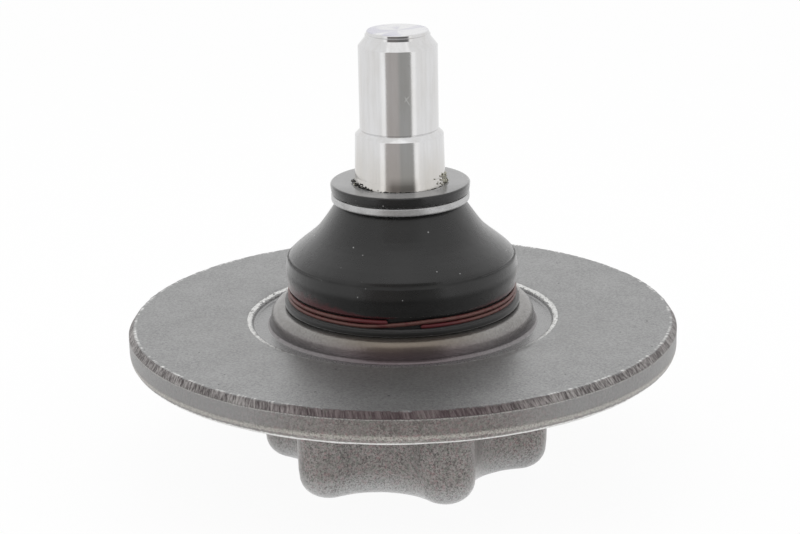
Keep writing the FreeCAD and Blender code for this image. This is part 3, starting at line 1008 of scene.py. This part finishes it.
    def build(self) -> bpy.types.Object:
        """Make the forging's mesh, pit its skin, tear the trim band and raise the burr and the flash.

        Returns:
            The piece, dressed.
        """
        rng = np.random.default_rng(self.seed)
        angle = even_angles(self.columns)
        hub = self.hub_rows(angle)
        flange, flange_rough = self.flange_rows(angle)
        share = np.linspace(0, 1, self.underside_rows)[1:-1, None, None]
        underside = hub[-1:] * (1 - share) + flange[:1] * share
        points = np.concatenate([hub, underside, flange])
        rough = np.concatenate([np.full(len(hub) + len(underside), self.blasted), flange_rough])
        rough[:len(self.bottom_shares)] = self.bottom_blasted
        coarse_cell, fine_cell = self.skin_cells
        skin = space_noise(points, coarse_cell, rng) * 0.6 + space_noise(points, fine_cell, rng) * 0.4
        points = points - grid_normals(points) * (rough[:, None] * (0.5 + 0.5 * skin))[..., None]

        radius = np.hypot(points[..., 0], points[..., 1])
        z = points[..., 2]
        top = self.flange_top
        land_r = self.flange_r - self.trim_taper
        bite = 0.5 + 0.5 * ring_noise(angle, self.bites, rng)
        chip = np.clip(ring_noise(angle, self.chips, rng), 0, 1) ** 2
        in_band = smooth_step(z, top - self.trim_height, top - 0.9) * smooth_step(
            radius, land_r - 0.8, land_r - 0.1)
        inward = in_band * (self.bite_depth * bite + self.chip_depth * chip)
        at_corner = smooth_step(radius, land_r - 1.8, land_r - 0.8)
        flash = smooth_step(np.abs(z - self.hub_height - 0.1), 0.3, 0.0) * at_corner
        lump = self.flash_out + self.lump_out * np.clip(ring_noise(angle, self.lumps, rng), 0, 1)
        crumble = smooth_step(np.abs(radius - self.burr_r), 0.75, 0.2) * smooth_step(z, top - 0.9, top - 0.5)
        grit = 0.5 + 0.5 * space_noise(points, self.grit_cell, rng)
        points[..., :2] *= (1 - (inward - flash * lump) / np.maximum(radius, 1))[..., None]
        points[..., 2] += crumble * (grit - 0.35) * self.burr_rise - flash * lump * 0.3
        np.maximum(points[..., 2], 0, out=points[..., 2])
        piece = Grid(points).build("housing_forging", 50.0)
        return dress(piece, ForgedSkin().material(), Slot.FORGED, Body.HOUSING, "housing")


@dataclass
class BallStud:
    """The stud: flat-bottomed ball, waisted neck, tapered shank, clamp pin and chamfered tip."""

    columns: int = 192
    ball_rows: int = 40
    ball_r: float = 15.0
    ball_z: float = 26.6
    flat_r: float = 5.0
    neck_r: float = 8.0
    neck_top: float = 49.6
    neck_root: float = 0.7
    waist_round_r: float = 5.0
    shank_z: float = 55.6
    root_r: float = 10.1
    flare_r: float = 10.17
    flare_z: float = 65.6
    flare_height: float = 1.6
    shank_top_r: float = 9.7
    step_z: float = 76.4
    pin_z: float = 77.45
    pin_r: float = 8.65
    undercut: float = 0.14
    tip_z: float = 95.95
    land_z: float = 97.88
    land_height: float = 0.54
    face_r: float = 6.85
    face_edge: float = 0.3
    face_dish: float = 0.12
    top_z: float = 99.3
    axis_gap: float = 0.3

    def build(self) -> bpy.types.Object:
        """Make the stud's mesh by turning its outline.

        Returns:
            The piece, dressed.
        """
        start = math.asin(self.flat_r / self.ball_r)
        end = math.pi - math.asin((self.neck_r + self.neck_root) / self.ball_r)
        sweep = np.linspace(start, end, self.ball_rows)
        ball = np.stack([self.ball_r * np.sin(sweep), self.ball_z - self.ball_r * np.cos(sweep)], axis=-1)
        flat = np.array([[self.axis_gap, ball[0, 1]], [self.flat_r * 0.6, ball[0, 1]]])
        land_top = self.land_z + self.land_height
        stem = profile([
            tuple(ball[-1]),
            (self.neck_r, ball[-1, 1] + 2 * self.neck_root, 1.6),
            (self.neck_r, self.neck_top, self.waist_round_r),
            (self.root_r, self.shank_z, self.waist_round_r),
            (self.flare_r - 0.2, self.flare_z - 0.55),
            (self.flare_r, self.flare_z),
            (self.flare_r - 0.26, self.flare_z + self.flare_height, 3.0),
            (self.shank_top_r, self.step_z, 0.25),
            (self.pin_r + 0.06, self.pin_z - 0.06),
            (self.pin_r - self.undercut, self.pin_z + 0.04, 0.05),
            (self.pin_r, self.pin_z + 0.34, 0.1),
            (self.pin_r, self.tip_z, 0.2),
            (self.face_r + 0.27, self.land_z, 0.05),
            (self.face_r + 0.25, land_top),
            (self.face_r - 0.05, land_top + 0.14),
            (self.face_r - 0.06, self.top_z - self.face_edge, 0.1),
            (self.face_r - self.face_edge, self.top_z, 0.2),
            (self.axis_gap, self.top_z - self.face_dish),
        ], 6, 3.0)
        surface = turned(np.concatenate([flat, ball, stem[1:]]), self.columns)
        piece = Grid(surface).build("ball_stud_turned", 28.0)
        return dress(piece, StudSteel().material(), Slot.STUD, Body.STUD, "ball_stud")


@dataclass
class DustBoot:
    """The rubber boot: lip, wire groove, band, moulded step, shoulder, neck, ring groove and collar."""

    columns: int = 384
    foot_z: float = 38.15
    lip_r: float = 26.15
    lip_top: float = 39.4
    groove_r: float = 24.45
    groove_top: float = 42.3
    edge_round_r: float = 0.3
    lip_round_r: float = 0.45
    soft_round_r: float = 8.0
    band: tuple[tuple[float, float], ...] = (
        (25.22, 42.35), (25.24, 43.3), (25.48, 44.5), (25.74, 45.7), (25.72, 47.0), (25.45, 48.2))
    band_top: float = 49.05
    band_top_r: float = 25.3
    step: float = 0.4
    step_height: float = 0.1
    shoulder: tuple[tuple[float, float], ...] = (
        (24.84, 49.6), (24.24, 50.2), (22.84, 51.4), (21.3, 52.6), (19.6, 54.0), (18.55, 55.05), (17.4, 56.5),
        (15.99, 58.5))
    inner_r: float = 24.1
    inner_kink: tuple[float, float] = (20.3, 50.3)
    neck_r: float = 14.0
    neck_top: float = 61.3
    ring_groove_r: float = 13.4
    collar_z: float = 63.5
    collar_r: float = 15.4
    collar_top: float = 65.7
    bore_r: float = 9.92
    fit_r: float = 22.55
    fit_top: float = 43.85
    wall: float = 1.8
    blend_from: float = 42.6
    blend_to: float = 61.2
    front_dip: float = 0.35
    front_ledge: tuple[float, float] = (0.14, 0.18)
    soft_depth: float = 0.07
    soft_cell: float = 9.0
    seed: int = 26

    def outline(self) -> Array:
        """Closed outline: up the outside from the lip, over the collar, down the bore and the hollow."""
        return profile([
            (self.fit_r + 0.05, self.foot_z),
            (self.lip_r, self.foot_z, self.lip_round_r),
            (self.lip_r, self.lip_top, self.lip_round_r),
            (self.groove_r, self.lip_top + 0.15, self.edge_round_r),
            (self.groove_r, self.groove_top, 0.25),
            (*self.band[0], 0.08),
            *((r, z, self.soft_round_r) for r, z in self.band[1:]),
            (self.band_top_r, self.band_top),
            (self.band_top_r - self.step, self.band_top + self.step_height),
            *((r, z, self.soft_round_r) for r, z in self.shoulder),
            (self.neck_r, self.neck_top, 0.6),
            (self.ring_groove_r, self.neck_top + 0.1, 0.1),
            (self.ring_groove_r, self.collar_z),
            (self.collar_r - 0.25, self.collar_z, 0.2),
            (self.collar_r, self.collar_top - 0.25, self.edge_round_r),
            (self.collar_r - 0.35, self.collar_top, self.edge_round_r),
            (self.bore_r + 0.35, self.collar_top - 0.12, 0.2),
            (self.bore_r + 0.08, self.collar_top - 0.6),
            (self.bore_r + 0.24, self.neck_top - 0.9),
            (self.neck_r - self.wall, self.neck_top - 1.6, 0.6),
            (*self.inner_kink, 3.0),
            (self.inner_r - 0.4, self.band_top - 0.9, 2.5),
            (self.inner_r, self.fit_top + 1.8, 1.0),
            (self.fit_r, self.fit_top),
        ], 6, 0.9, closed=True)

    def build(self) -> bpy.types.Object:
        """Make the boot's mesh, with soft unevenness.

        Returns:
            The piece, dressed.
        """
        rng = np.random.default_rng(self.seed)
        points = turned(self.outline(), self.columns)
        angle = even_angles(self.columns)
        z = points[..., 2].copy()
        outside = np.hypot(points[..., 0], points[..., 1]) > self.inner_r + 0.3
        from_step = np.abs(z - self.band_top - self.step_height / 2)
        seam = smooth_step(from_step, 0.8, 0.0) * outside
        dark = smooth_step(from_step, 0.2, 0.06) * outside * (0.75 + 0.25 * ring_noise(angle, 40, rng))
        front = np.clip(-np.sin(angle), 0, 1)
        dip = self.front_dip * front ** 3
        out, back = self.front_ledge
        on_shoulder = np.abs(z - self.band_top - self.step_height) < NEAR
        on_band = np.abs(z - self.band_top) < NEAR
        ledge = (on_shoulder * out - on_band * back) * outside
        points[..., :2] *= (1 + ledge * front ** 2 / self.band_top_r)[..., None]
        points[..., 2] += seam * (0.10 * ring_noise(angle, 14, rng) + 0.05 * ring_noise(angle, 90, rng) - dip)
        soft = space_noise(points, self.soft_cell, rng)
        rise = smooth_step(z, self.groove_top + 1, self.groove_top + 4) * smooth_step(
            z, self.neck_top - 0.3, self.neck_top - 3.3)
        points -= grid_normals(points) * (self.soft_depth * rise * (0.5 + 0.5 * soft))[..., None]
        piece = Grid(points, closed=True).build("dust_boot_moulded", 45.0)
        store(piece, "seam", dark)
        dress(piece, BootRubber().material(), Slot.RUBBER, None, "dust_boot")
        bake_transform(piece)
        return piece


@dataclass
class ClampWire:
    """Red wire wound twice round the boot's foot, with its cut ends either side of the rise at the front."""

    wire_r: float = 0.46
    path_r: float = 25.0
    start_deg: float = 8.7
    end_deg: float = -7.4
    steps: int = 900
    around: int = 14
    rise_deg: tuple[float, float] = (333.0, 364.0)
    heights: tuple[float, ...] = (40.12, 40.12, 41.16, 41.22)
    window: int = 13
    wander: float = 0.03
    end_round: float = 0.25
    seed: int = 7

    def path(self) -> tuple[Array, Array]:
        """Centre line of the wire: a circle that goes straight from height to height, then is smoothed.

        Returns:
            Points as (steps, 3), and each one's distance from the nearer cut end.
        """
        total = 720 - self.start_deg + self.end_deg
        turn = np.linspace(0, total, self.steps)
        z = np.interp(turn, [0, *self.rise_deg, total], self.heights)
        kernel = np.hanning(self.window)
        z = np.convolve(np.pad(z, self.window // 2, mode="edge"), kernel / kernel.sum(), "valid")
        angle = np.radians(self.start_deg - 90 + turn)
        r = self.path_r + self.wander * ring_noise(angle, 24, np.random.default_rng(self.seed))
        length = np.radians(np.minimum(turn, total - turn)) * self.path_r
        return polar(r, angle, z), length

    def build(self) -> bpy.types.Object:
        """Carry a round section along the path: centre + radius (cos v outwards - sin v upwards).

        Returns:
            The piece, dressed.
        """
        centre, from_end = self.path()
        tangent = unit(np.gradient(centre, axis=0))
        out = unit(np.cross(tangent, np.array([0.0, 0.0, 1.0])))
        lift = np.cross(out, tangent)
        v = even_angles(self.around)
        back = 1 - np.clip(from_end / self.end_round, 0, 1)
        radius = self.wire_r * np.sqrt(np.clip(1 - back ** 2, 0.25, 1))
        across, upwards = np.cos(v)[None, :, None], -np.sin(v)[None, :, None]
        ring = radius[:, None, None] * (across * out[:, None] + upwards * lift[:, None])
        piece = Grid(centre[:, None] + ring).build("clamp_wire", 60.0)
        store(piece, "from_end", np.concatenate([np.repeat(from_end, self.around), [0.0, 0.0]]))
        return dress(piece, WireLacquer().material(), Slot.WIRE, Body.HOUSING, "boot_clamp_wire")


@dataclass
class NeckRing:
    """The light hard ring under the boot's collar."""

    columns: int = 256
    inner_r: float = 13.5
    outer_r: float = 15.2
    low: float = 61.56
    high: float = 63.32
    edge_r: float = 0.45

    def build(self) -> bpy.types.Object:
        """Make the ring by turning a rounded closed outline.

        Returns:
            The piece, dressed.
        """
        outline = profile([
            (self.inner_r, self.low), (self.outer_r, self.low, self.edge_r),
            (self.outer_r, self.high, self.edge_r), (self.inner_r, self.high),
        ], 6, 1.0, closed=True)
        piece = Grid(turned(outline, self.columns), closed=True).build("neck_ring", 40.0)
        finish = SatinFinish("ring_plastic", rgb(193, 193, 193), 0.7, 0.7)
        return dress(piece, finish.material(), Slot.RING, Body.NECK, "upper_boot_ring")


@dataclass
class CollarCrumbs:
    """Torn flash and crumbs where the shank leaves the boot's collar."""

    shank_r: float = 9.92
    collar_top: float = 65.7
    count: int = 330
    columns: int = 360
    right_deg: tuple[float, float] = (-13.0, 10.0)
    left_deg: tuple[float, float] = (208.0, 14.0)
    sizes: tuple[float, float] = (0.08, 0.20)
    heap_size: float = 1.2
    lone_size: float = 0.7
    right_climb: float = 2.2
    left_climb: float = 0.7
    scatter: float = 0.5
    dents: tuple[float, float] = (0.6, 1.25)
    stretches: tuple[float, float] = (0.7, 1.3)
    skirt_width: tuple[float, float] = (0.30, 0.25)
    skirt_height: tuple[float, float] = (0.12, 0.3)
    skirt_section: tuple[tuple[float, float], ...] = (
        (0.0, -0.35), (0.9, -0.3), (1.0, 0.15), (0.55, 0.7), (0.0, 1.0))
    seed: int = 11

    def flash(self, rng: np.random.Generator) -> Array:
        """Rows of a thin torn skirt round the shank: a closed section whose width and height wander.

        Args:
            rng: Source of the wandering.

        Returns:
            Points as (rows, columns, 3).
        """
        angle = even_angles(self.columns)
        (width, torn), (height, peak) = self.skirt_width, self.skirt_height
        ragged = ring_noise(angle, 70, rng) + 0.3 * ring_noise(angle, 180, rng)
        wide = width + torn * np.clip(ragged, -0.8, 1)
        high = height + peak * np.clip(ring_noise(angle, 90, rng), 0, 1) ** 2
        section = np.array(self.skirt_section)
        r = self.shank_r - 0.02 + section[:, :1] * wide
        return polar(r, angle, self.collar_top - 0.06 + section[:, 1:] * high)

    def crumbs(self, rng: np.random.Generator) -> tuple[Array, Array]:
        """Small lumps: one twenty-sided solid copied to many places, each stretched and dented at random.

        A third lie in a heap on the right, a third on the left and the rest all round.

        Args:
            rng: Source of the places and dents.

        Returns:
            Points as (count * 12, 3) and triangles.
        """
        golden = (1 + math.sqrt(5)) / 2
        corners = [(s, t * golden, 0) for t in (1, -1) for s in (-1, 1)]
        base = np.array([np.roll(corner, k) for k in range(3) for corner in corners]) / math.hypot(1, golden)
        faces = np.array([(0, 11, 5), (0, 5, 1), (0, 1, 7), (0, 7, 10), (0, 10, 11), (1, 5, 9), (5, 11, 4),
                          (11, 10, 2), (10, 7, 6), (7, 1, 8), (3, 9, 4), (3, 4, 2), (3, 2, 6), (3, 6, 8),
                          (3, 8, 9), (4, 9, 5), (2, 4, 11), (6, 2, 10), (8, 6, 7), (9, 8, 1)])
        share = self.count // 3
        rest = self.count - 2 * share
        degrees = np.concatenate([
            rng.normal(*self.right_deg, share), rng.normal(*self.left_deg, share), rng.uniform(0, 360, rest)])
        climb = np.concatenate([
            rng.uniform(0, 1, share) ** 1.2 * self.right_climb,
            rng.uniform(0, 1, share) ** 2 * self.left_climb,
            np.zeros(rest)])
        size = rng.uniform(*self.sizes, self.count) * np.where(climb > 0, 1.0, self.lone_size)
        size[:share] *= self.heap_size
        out = self.shank_r + size * 0.7 + rng.uniform(0, self.scatter, self.count) * (climb < 0.3)
        centre = polar(out, np.radians(degrees), self.collar_top - 0.05 + size * 0.6 + climb)
        dent = rng.uniform(*self.dents, (self.count, len(base), 1))
        stretch = rng.uniform(*self.stretches, (self.count, 1, 3))
        points = centre[:, None] + size[:, None, None] * base[None] * dent * stretch
        triangles = faces[None] + len(base) * np.arange(self.count)[:, None, None]
        return points.reshape(-1, 3), triangles.reshape(-1, 3)

    def build(self) -> list[bpy.types.Object]:
        """Make the torn skirt and the crumbs.

        Returns:
            The two pieces, dressed.
        """
        rng = np.random.default_rng(self.seed)
        torn = Crumbs("torn_rubber", rgb(52, 50, 46), rgb(10, 10, 10)).material()
        grit = Crumbs("crumbs", rgb(196, 194, 180), rgb(96, 94, 82)).material()
        skirt = Grid(self.flash(rng), closed=True).build("collar_flash", 30.0)
        points, triangles = self.crumbs(rng)
        bits = solid("collar_crumbs", points, np.zeros((0, 4), int), triangles, 30.0)
        return [dress(skirt, torn, Slot.RUBBER, Body.NECK), dress(bits, grit, Slot.RUBBER, Body.NECK)]


@dataclass
class Inside:
    """The bearing and the closing ring, which keep their CAD meshes."""

    def build(self) -> None:
        """Give each carried-over node its material."""
        bearing = SatinFinish("bearing_plastic", rgb(226, 222, 208), 0.0, 0.55, 0.05).material()
        steel = SatinFinish("turned_steel", rgb(150, 150, 152), 0.9, 0.6, 0.1, 4.0, turned=True).material()
        for node, material in (("lower_bearing_shell", bearing), ("upper_bearing_ring", bearing),
                               ("closing_ring", steel)):
            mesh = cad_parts[node].data
            mesh.materials.clear()
            mesh.materials.append(material)
            LOG.info("%s: carried over", node)


# ---- studio ----


@dataclass
class Studio:
    """White tent with a darker opening behind the camera, a pale floor, three soft boxes and the camera."""

    focus: tuple[float, float, float] = (-0.38, 0.0, 45.8)
    distance: float = 488.8
    elevation: float = 17.24
    roll: float = 1.05
    focal_px: float = 2200.0
    image_width: float = 800.0
    sensor: float = 36.0
    clip_metres: tuple[float, float] = (0.01, 20.0)
    opening_deg: float = 37.0
    opening_left: Colour = (0.42, 0.395, 0.38, 1.0)
    opening_right: Colour = (0.33, 0.33, 0.32, 1.0)
    opening_soft: float = 0.012
    opening_edge: float = 1.12
    edge_span: tuple[float, float] = (0.2, 0.12)
    tent_level: float = 0.92
    floor_r: float = 2000.0
    floor_thickness: float = 1.5
    floor_seen: float = 0.94
    floor_mirror: float = 0.9
    boxes: tuple[tuple[str, tuple[float, float, float], float, float], ...] = (
        ("top_box", (0, 60, 520), 420, 0.35),
        ("left_box", (-480, -60, 260), 360, 0.5),
        ("right_box", (480, -60, 260), 360, 0.5))

    def camera(self) -> None:
        """Place the camera: it looks at the focus from in front and above, rolled by a small angle."""
        data = bpy.data.cameras.new("camera")
        data.lens = self.focal_px * self.sensor / self.image_width
        data.sensor_width = self.sensor
        data.clip_start, data.clip_end = self.clip_metres
        e, roll = math.radians(self.elevation), math.radians(self.roll)
        back = Vector((0, -math.cos(e), math.sin(e)))
        up = Vector((0, math.sin(e), math.cos(e)))
        right = Vector((1, 0, 0))
        turned_right = right * math.cos(roll) - up * math.sin(roll)
        turned_up = right * math.sin(roll) + up * math.cos(roll)
        camera = bpy.data.objects.new("camera", data)
        spot = (Vector(self.focus) + back * self.distance) * MM
        camera.matrix_world = Matrix.Translation(spot) @ Matrix(
            (turned_right, turned_up, back)).transposed().to_4x4()
        bpy.context.scene.collection.objects.link(camera)
        bpy.context.scene.camera = camera

    def surroundings(self, graph: Graph, x: Term, y: Term, share: Any) -> Term:
        """Colour of the tent by the direction (x, y): a darker opening in front, between brighter edges.

        Args:
            graph: Tree to add to.
            x: Sideways part of the direction.
            y: Part of it that leads away from the camera.
            share: How far the opening shows, from 0 to 1.

        Returns:
            The colour.
        """
        length = graph.maths("SQRT", x * x + y * y) + TINY
        facing = -1 * y / length
        edge = math.cos(math.radians(self.opening_deg))
        inside = facing.rise(edge - self.opening_soft, edge + self.opening_soft)
        beside = facing.rise(*(edge - span for span in self.edge_span))
        tent = graph.mix((self.tent_level,) * 3 + (1,), (self.opening_edge,) * 3 + (1,), beside)
        dark = graph.mix(self.opening_left, self.opening_right, (x / length).rise(-0.05, 0.05))
        return graph.mix(tent, dark, inside * share)

    def floor(self) -> None:
        """Lay a large pale disc under the part: white to the camera with the part's soft shadow."""
        low, wide = -self.floor_thickness, self.floor_r
        outline = np.array([[0.5, low], [wide, low], [wide, 0.0], [1.0, 0.0]])
        piece = Grid(turned(outline, 96)).build("floor", 30.0)
        material, g = new_graph("floor_paper")
        at = Place(g)
        camera = g.add("ShaderNodeLightPath", output="Is Camera Ray")
        glossy = g.add("ShaderNodeLightPath", output="Is Glossy Ray")
        tone = g.mix(rgb(236, 236, 236), rgb(242, 242, 242), g.noise(at.point, 0.05, 2.0))
        paper = g.add("ShaderNodeBsdfDiffuse", None, {"Color": tone})
        mirror = g.add("ShaderNodeEmission", None, {
            "Color": self.surroundings(g, at.x, at.y, at.r.rise(80.0, 110.0)), "Strength": 1.0})
        white = g.add("ShaderNodeEmission", None, {"Color": (1, 1, 1, 1), "Strength": 1.0})
        seen = g.add("ShaderNodeMixShader", None, {0: camera * self.floor_seen, 1: paper, 2: white})
        both = g.add("ShaderNodeMixShader", None, {
            0: glossy * (1 - camera) * self.floor_mirror, 1: seen, 2: mirror})
        g.add("ShaderNodeOutputMaterial", None, {0: both})
        piece.data.materials.append(material)

    def world(self) -> None:
        """Light the part from a white tent; the camera sees plain white behind it."""
        world = bpy.data.worlds.new("tent")
        world.use_nodes = True
        bpy.context.scene.world = world
        g = Graph(world.node_tree)
        direction = g.add("ShaderNodeTexCoord", output="Generated")
        x, y, z = g.split("ShaderNodeSeparateXYZ", {0: direction})
        camera = g.add("ShaderNodeLightPath", output="Is Camera Ray")
        colour = g.mix(self.surroundings(g, x, y, z.rise(0.97, 0.55)), (1, 1, 1, 1), camera)
        background = g.add("ShaderNodeBackground", None, {"Color": colour, "Strength": 1.0})
        g.add("ShaderNodeOutputWorld", None, {0: background})

    def lamps(self) -> None:
        """Hang the soft boxes, aimed at the focus and unseen in reflections."""
        for name, place, size, watts in self.boxes:
            data = bpy.data.lights.new(name, "AREA")
            data.shape = "SQUARE"
            data.size = size * MM
            data.energy = watts
            lamp = bpy.data.objects.new(name, data)
            lamp.visible_glossy = False
            spot = Vector(place) * MM
            aim = Vector(self.focus) * MM - spot
            lamp.matrix_world = Matrix.Translation(spot) @ aim.to_track_quat("-Z", "Y").to_matrix().to_4x4()
            bpy.context.scene.collection.objects.link(lamp)

    def build(self) -> None:
        """Set the stage and the view."""
        self.camera()
        self.floor()
        self.world()
        self.lamps()
        bpy.context.scene.view_settings.view_transform = "Standard"


def main() -> None:
    """Build the stage and every piece in order."""
    logging.basicConfig(level=logging.INFO, format="%(name)s %(message)s")
    for part in (Studio, Housing, BallStud, DustBoot, ClampWire, NeckRing, CollarCrumbs, Inside):
        part().build()


if __name__ == "__main__":
    main()
